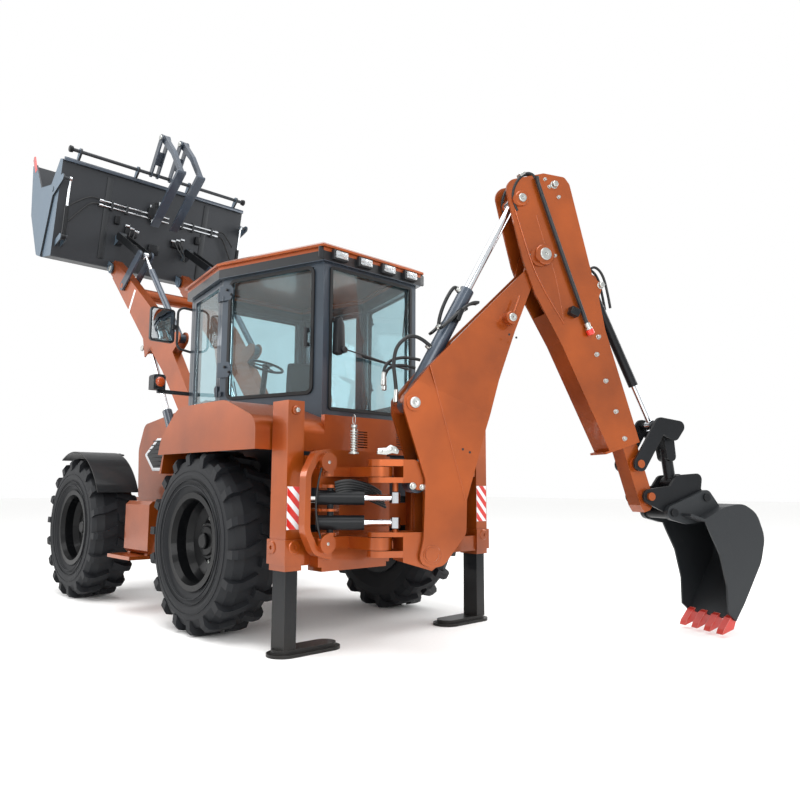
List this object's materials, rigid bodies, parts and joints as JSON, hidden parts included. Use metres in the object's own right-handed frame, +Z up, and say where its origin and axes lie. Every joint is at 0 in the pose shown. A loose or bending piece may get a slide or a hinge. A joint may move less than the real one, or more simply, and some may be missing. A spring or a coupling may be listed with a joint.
{
  "type": "backhoe loader",
  "caption": "Wheeled backhoe loader with an opening loader bucket and flip-over forks in front, a glazed cab, and a side-shifting digging arm with upright stabilisers behind.",
  "frame": {"origin": "middle of the whole machine's footprint box, at ground level, as it stands with its loader raised and its digging arm swung to its right", "axes": "+X is the way it drives, +Y its left side, +Z up"},
  "size_m": [7.1719, 3.4578, 5.259],
  "materials": {
    "axles": "dark grey chassis paint, satin",
    "bonnet": "copper orange metallic paint, semi-gloss",
    "boom": "copper orange metallic paint, semi-gloss",
    "boom_barrel": "black paint, satin",
    "boom_rod": "hard chrome plated",
    "bucket_barrel": "black paint, satin",
    "bucket_clam": "black paint, satin",
    "bucket_rod": "hard chrome plated",
    "bucket_teeth": "red paint on cast steel",
    "cab_glass": "lightly tinted safety glass",
    "cab_roof": "copper orange metallic paint, semi-gloss",
    "cab_shell": "slate grey paint, satin",
    "carriage": "copper orange metallic paint, semi-gloss",
    "clam_barrels": "black paint, satin",
    "clam_rods": "hard chrome plated",
    "digging_bucket": "black paint, satin",
    "dipper": "copper orange metallic paint, semi-gloss",
    "dipper_barrel": "black paint, satin",
    "dipper_extension": "black paint, satin",
    "dipper_rod": "hard chrome plated",
    "door_glass_left": "lightly tinted safety glass",
    "door_glass_right": "lightly tinted safety glass",
    "door_left": "slate grey paint, satin",
    "door_right": "slate grey paint, satin",
    "driver_station": "grained black plastic",
    "engine": "dark grey chassis paint, satin",
    "fork_carriers": "black paint, satin",
    "frame": "dark grey chassis paint, satin",
    "knuckle_left": "black paint, satin",
    "knuckle_right": "black paint, satin",
    "lift_barrels": "black paint, satin",
    "lift_rods": "hard chrome plated",
    "loader_arms": "copper orange metallic paint, semi-gloss",
    "loader_bucket": "black paint, satin",
    "mirrors": "grained black plastic",
    "pallet_forks": "black paint, satin",
    "quick_hitch": "black paint, satin",
    "rear_wings": "copper orange metallic paint, semi-gloss",
    "rim_front_left": "dark grey paint, satin",
    "rim_front_right": "dark grey paint, satin",
    "rim_rear_left": "dark grey paint, satin",
    "rim_rear_right": "dark grey paint, satin",
    "side_tanks": "grained black plastic",
    "stabiliser_leg_left": "black paint, satin",
    "stabiliser_leg_right": "black paint, satin",
    "stabiliser_tubes": "copper orange metallic paint, semi-gloss",
    "swing_barrels": "black paint, satin",
    "swing_post": "copper orange metallic paint, semi-gloss",
    "swing_rods": "hard chrome plated",
    "tilt_barrels": "black paint, satin",
    "tilt_levers": "black paint, satin",
    "tilt_links": "black paint, satin",
    "tilt_rods": "hard chrome plated",
    "tipping_lever": "black paint, satin",
    "tipping_link": "black paint, satin",
    "tyre_front_left": "rubber, matt",
    "tyre_front_right": "rubber, matt",
    "tyre_rear_left": "rubber, matt",
    "tyre_rear_right": "rubber, matt",
    "work_lamps": "grained black plastic"
  },
  "bodies": {
    "chassis": {"frame": "frame", "axles": "axles", "engine": "engine", "side_tanks": "side_tanks", "rear_wings": "rear_wings", "cab_shell": "cab_shell", "cab_roof": "cab_roof", "cab_glass": "cab_glass", "driver_station": "driver_station", "work_lamps": "work_lamps", "mirrors": "mirrors", "stabiliser_tubes": "stabiliser_tubes"},
    "bonnet": {"bonnet": "bonnet"},
    "door_left": {"door_left": "door_left", "door_glass_left": "door_glass_left"},
    "door_right": {"door_right": "door_right", "door_glass_right": "door_glass_right"},
    "knuckle_left": {"knuckle_left": "knuckle_left"},
    "knuckle_right": {"knuckle_right": "knuckle_right"},
    "wheel_front_left": {"tyre_front_left": "tyre_front_left", "rim_front_left": "rim_front_left"},
    "wheel_front_right": {"tyre_front_right": "tyre_front_right", "rim_front_right": "rim_front_right"},
    "wheel_rear_left": {"tyre_rear_left": "tyre_rear_left", "rim_rear_left": "rim_rear_left"},
    "wheel_rear_right": {"tyre_rear_right": "tyre_rear_right", "rim_rear_right": "rim_rear_right"},
    "loader_arms": {"loader_arms": "loader_arms"},
    "lift_barrels": {"lift_barrels": "lift_barrels"},
    "lift_rods": {"lift_rods": "lift_rods"},
    "loader_bucket": {"loader_bucket": "loader_bucket"},
    "tilt_levers": {"tilt_levers": "tilt_levers"},
    "tilt_links": {"tilt_links": "tilt_links"},
    "tilt_barrels": {"tilt_barrels": "tilt_barrels"},
    "tilt_rods": {"tilt_rods": "tilt_rods"},
    "bucket_clam": {"bucket_clam": "bucket_clam"},
    "clam_barrels": {"clam_barrels": "clam_barrels"},
    "clam_rods": {"clam_rods": "clam_rods"},
    "fork_carriers": {"fork_carriers": "fork_carriers"},
    "pallet_forks": {"pallet_forks": "pallet_forks"},
    "stabiliser_leg_left": {"stabiliser_leg_left": "stabiliser_leg_left"},
    "stabiliser_leg_right": {"stabiliser_leg_right": "stabiliser_leg_right"},
    "carriage": {"carriage": "carriage"},
    "swing_post": {"swing_post": "swing_post"},
    "swing_barrels": {"swing_barrels": "swing_barrels"},
    "swing_rods": {"swing_rods": "swing_rods"},
    "boom": {"boom": "boom"},
    "boom_barrel": {"boom_barrel": "boom_barrel"},
    "boom_rod": {"boom_rod": "boom_rod"},
    "dipper": {"dipper": "dipper"},
    "dipper_barrel": {"dipper_barrel": "dipper_barrel"},
    "dipper_rod": {"dipper_rod": "dipper_rod"},
    "dipper_extension": {"dipper_extension": "dipper_extension"},
    "quick_hitch": {"quick_hitch": "quick_hitch", "digging_bucket": "digging_bucket", "bucket_teeth": "bucket_teeth"},
    "tipping_lever": {"tipping_lever": "tipping_lever"},
    "tipping_link": {"tipping_link": "tipping_link"},
    "bucket_barrel": {"bucket_barrel": "bucket_barrel"},
    "bucket_rod": {"bucket_rod": "bucket_rod"}
  },
  "joints": [
    {"name": "bonnet_hinge", "type": "hinge", "parent": "chassis", "child": "bonnet", "pos_m": [0.54996, 0.54594, 1.865], "axis": [0, -1, 0], "range_deg": [0, 50]},
    {"name": "door_left_hinge", "type": "hinge", "parent": "chassis", "child": "door_left", "pos_m": [-0.42299, 1.3385, 1.9], "axis": [0, 0, 1], "range_deg": [0, 85]},
    {"name": "door_right_hinge", "type": "hinge", "parent": "chassis", "child": "door_right", "pos_m": [-0.42299, -0.24662, 1.9], "axis": [0, 0, -1], "range_deg": [0, 85]},
    {"name": "steer_left", "type": "hinge", "parent": "chassis", "child": "knuckle_left", "pos_m": [1.74996, 1.23594, 0.675], "axis": [0, 0, 1], "range_deg": [-21, 21]},
    {"name": "steer_right", "type": "hinge", "parent": "chassis", "child": "knuckle_right", "pos_m": [1.74996, -0.14406, 0.675], "axis": [0, 0, 1], "range_deg": [-21.5, 21.5]},
    {"name": "wheel_front_left_spin", "type": "hinge", "parent": "knuckle_left", "child": "wheel_front_left", "pos_m": [1.74996, 1.46594, 0.675], "axis": [0, 1, 0], "continuous": true},
    {"name": "wheel_front_right_spin", "type": "hinge", "parent": "knuckle_right", "child": "wheel_front_right", "pos_m": [1.74996, -0.37406, 0.675], "axis": [0, 1, 0], "continuous": true},
    {"name": "wheel_rear_left_spin", "type": "hinge", "parent": "chassis", "child": "wheel_rear_left", "pos_m": [-0.69004, 1.46594, 0.675], "axis": [0, 1, 0], "continuous": true},
    {"name": "wheel_rear_right_spin", "type": "hinge", "parent": "chassis", "child": "wheel_rear_right", "pos_m": [-0.69004, -0.37406, 0.675], "axis": [0, 1, 0], "continuous": true},
    {"name": "loader_lift", "type": "hinge", "parent": "chassis", "child": "loader_arms", "pos_m": [0.52996, 0.54594, 1.62], "axis": [0, -1, 0], "range_deg": [-69, 0]},
    {"name": "lift_barrel_swing", "type": "hinge", "parent": "chassis", "child": "lift_barrels", "pos_m": [0.60996, 0.54594, 0.9], "axis": [0, -1, 0], "range_deg": [-56.2, 1]},
    {"name": "lift_rod_slide", "type": "slide", "parent": "lift_barrels", "child": "lift_rods", "axis": [0.5342, 0, 0.8454], "range_m": [-0.7567, 0.01]},
    {"name": "loader_tilt", "type": "hinge", "parent": "loader_arms", "child": "loader_bucket", "pos_m": [2.69996, 0.54594, 3.65], "axis": [0, 1, 0], "range_deg": [0, 100]},
    {"name": "tilt_lever_swing", "type": "hinge", "parent": "loader_arms", "child": "tilt_levers", "pos_m": [2.32996, 0.54594, 3.36], "axis": [0, 1, 0], "range_deg": [-1, 57.77]},
    {"name": "tilt_link_swing", "type": "hinge", "parent": "tilt_levers", "child": "tilt_links", "pos_m": [1.90996, 0.54594, 3.63], "axis": [0, 1, 0], "range_deg": [-16.01, 1]},
    {"name": "tilt_barrel_swing", "type": "hinge", "parent": "loader_arms", "child": "tilt_barrels", "pos_m": [0.96996, 0.54594, 2.55], "axis": [0, 1, 0], "range_deg": [-1, 5.96]},
    {"name": "tilt_rod_slide", "type": "slide", "parent": "tilt_barrels", "child": "tilt_rods", "axis": [0.6565, 0, 0.7543], "range_m": [-0.01, 0.4629]},
    {"name": "clam_open", "type": "hinge", "parent": "loader_bucket", "child": "bucket_clam", "pos_m": [2.76996, 0.54594, 4.45], "axis": [0, 1, 0], "range_deg": [-50, 0]},
    {"name": "clam_barrel_swing", "type": "hinge", "parent": "loader_bucket", "child": "clam_barrels", "pos_m": [2.59996, 0.54594, 3.86], "axis": [0, 1, 0], "range_deg": [-1, 3.62]},
    {"name": "clam_rod_slide", "type": "slide", "parent": "clam_barrels", "child": "clam_rods", "axis": [-0.1991, 0, 0.98], "range_m": [-0.266, 0.01]},
    {"name": "fork_flip", "type": "hinge", "parent": "loader_bucket", "child": "fork_carriers", "pos_m": [2.45996, 0.54594, 4.85], "axis": [0, 1, 0], "range_deg": [0, 150]},
    {"name": "fork_fold", "type": "hinge", "parent": "fork_carriers", "child": "pallet_forks", "pos_m": [2.19996, 0.54594, 5.215], "axis": [0, -1, 0], "range_deg": [-100, 0]},
    {"name": "stabiliser_left_lift", "type": "slide", "parent": "chassis", "child": "stabiliser_leg_left", "axis": [0, 0, 1], "range_m": [0, 0.45]},
    {"name": "stabiliser_right_lift", "type": "slide", "parent": "chassis", "child": "stabiliser_leg_right", "axis": [0, 0, 1], "range_m": [0, 0.45]},
    {"name": "carriage_shift", "type": "slide", "parent": "chassis", "child": "carriage", "axis": [0, 1, 0], "range_m": [-1.02, 0]},
    {"name": "swing", "type": "hinge", "parent": "carriage", "child": "swing_post", "pos_m": [-2.11004, 1.05594, 0.9], "axis": [0, 0, 1], "range_deg": [-155, 25]},
    {"name": "swing_barrel_swing", "type": "hinge", "parent": "carriage", "child": "swing_barrels", "pos_m": [-1.88004, 1.28594, 0.93], "axis": [0, 0, 1], "range_deg": [-22.7, 4.5]},
    {"name": "swing_rod_slide", "type": "slide", "parent": "swing_barrels", "child": "swing_rods", "axis": [-0.6426, -0.7662, 0], "range_m": [-0.1507, 0.0327]},
    {"name": "boom_lift", "type": "hinge", "parent": "swing_post", "child": "boom", "pos_m": [-2.2419, 0.77317, 0.648], "axis": [-0.9063, 0.4226, 0], "range_deg": [-105, 4]},
    {"name": "boom_barrel_swing", "type": "hinge", "parent": "swing_post", "child": "boom_barrel", "pos_m": [-2.21147, 0.83843, 1.105], "axis": [-0.9063, 0.4226, 0], "range_deg": [-106, 5]},
    {"name": "boom_rod_slide", "type": "slide", "parent": "boom_barrel", "child": "boom_rod", "axis": [-0.2139, -0.4588, 0.8624], "range_m": [-0.0383, 0.7522]},
    {"name": "dipper_swing", "type": "hinge", "parent": "boom", "child": "dipper", "pos_m": [-2.60281, -0.00081, 2.749], "axis": [-0.9063, 0.4226, 0], "range_deg": [-12, 105]},
    {"name": "dipper_barrel_swing", "type": "hinge", "parent": "boom", "child": "dipper_barrel", "pos_m": [-2.19034, 0.88374, 1.637], "axis": [-0.9063, 0.4226, 0], "range_deg": [-3.42, 1.28]},
    {"name": "dipper_rod_slide", "type": "slide", "parent": "dipper_barrel", "child": "dipper_rod", "axis": [-0.1995, -0.4278, 0.8816], "range_m": [-0.721, 0.0913]},
    {"name": "dipper_extend", "type": "slide", "parent": "dipper", "child": "dipper_extension", "axis": [-0.1306, -0.2801, -0.9511], "range_m": [0, 1.05]},
    {"name": "bucket_curl", "type": "hinge", "parent": "dipper_extension", "child": "quick_hitch", "pos_m": [-2.97725, -0.8038, 1.021], "axis": [-0.9063, 0.4226, 0], "range_deg": [-100, 45]},
    {"name": "tipping_lever_swing", "type": "hinge", "parent": "dipper_extension", "child": "tipping_lever", "pos_m": [-2.94344, -0.7313, 1.26], "axis": [-0.9063, 0.4226, 0], "range_deg": [-78.1, 35.69]},
    {"name": "tipping_link_swing", "type": "hinge", "parent": "tipping_lever", "child": "tipping_link", "pos_m": [-3.07234, -1.00772, 1.493], "axis": [-0.9063, 0.4226, 0], "range_deg": [-19.81, 42.8]},
    {"name": "bucket_barrel_swing", "type": "hinge", "parent": "dipper_extension", "child": "bucket_barrel", "pos_m": [-2.80482, -0.43403, 2.635], "axis": [-0.9063, 0.4226, 0], "range_deg": [-4.01, 7.7]},
    {"name": "bucket_rod_slide", "type": "slide", "parent": "bucket_barrel", "child": "bucket_rod", "axis": [-0.1843, -0.3953, -0.8999], "range_m": [-0.1882, 0.406]}
  ],
  "couplings": [
    {"joint": "steer_right", "follows": "steer_left", "ratio": 1},
    {"joint": "lift_barrel_swing", "follows": "loader_lift", "ratio": 0.8},
    {"joint": "lift_rod_slide", "follows": "loader_lift", "m_per_rad": 0.62},
    {"joint": "tilt_lever_swing", "follows": "loader_tilt", "ratio": 0.56771},
    {"joint": "tilt_link_swing", "follows": "loader_tilt", "ratio": -0.15008},
    {"joint": "tilt_barrel_swing", "follows": "loader_tilt", "ratio": 0.04963},
    {"joint": "tilt_rod_slide", "follows": "loader_tilt", "m_per_rad": 0.25951},
    {"joint": "clam_barrel_swing", "follows": "clam_open", "ratio": -0.05249},
    {"joint": "clam_rod_slide", "follows": "clam_open", "m_per_rad": 0.29336},
    {"joint": "swing_barrel_swing", "follows": "swing", "ratio": 0.14},
    {"joint": "swing_rod_slide", "follows": "swing", "m_per_rad": 0.052},
    {"joint": "boom_barrel_swing", "follows": "boom_lift", "ratio": 1},
    {"joint": "boom_rod_slide", "follows": "boom_lift", "m_per_rad": -0.405},
    {"joint": "dipper_barrel_swing", "follows": "dipper_swing", "ratio": -0.023},
    {"joint": "dipper_rod_slide", "follows": "dipper_swing", "m_per_rad": -0.388},
    {"joint": "tipping_lever_swing", "follows": "bucket_curl", "ratio": 0.771},
    {"joint": "tipping_link_swing", "follows": "bucket_curl", "ratio": -0.418},
    {"joint": "bucket_barrel_swing", "follows": "bucket_curl", "ratio": -0.067},
    {"joint": "bucket_rod_slide", "follows": "bucket_curl", "m_per_rad": -0.22689}
  ]
}
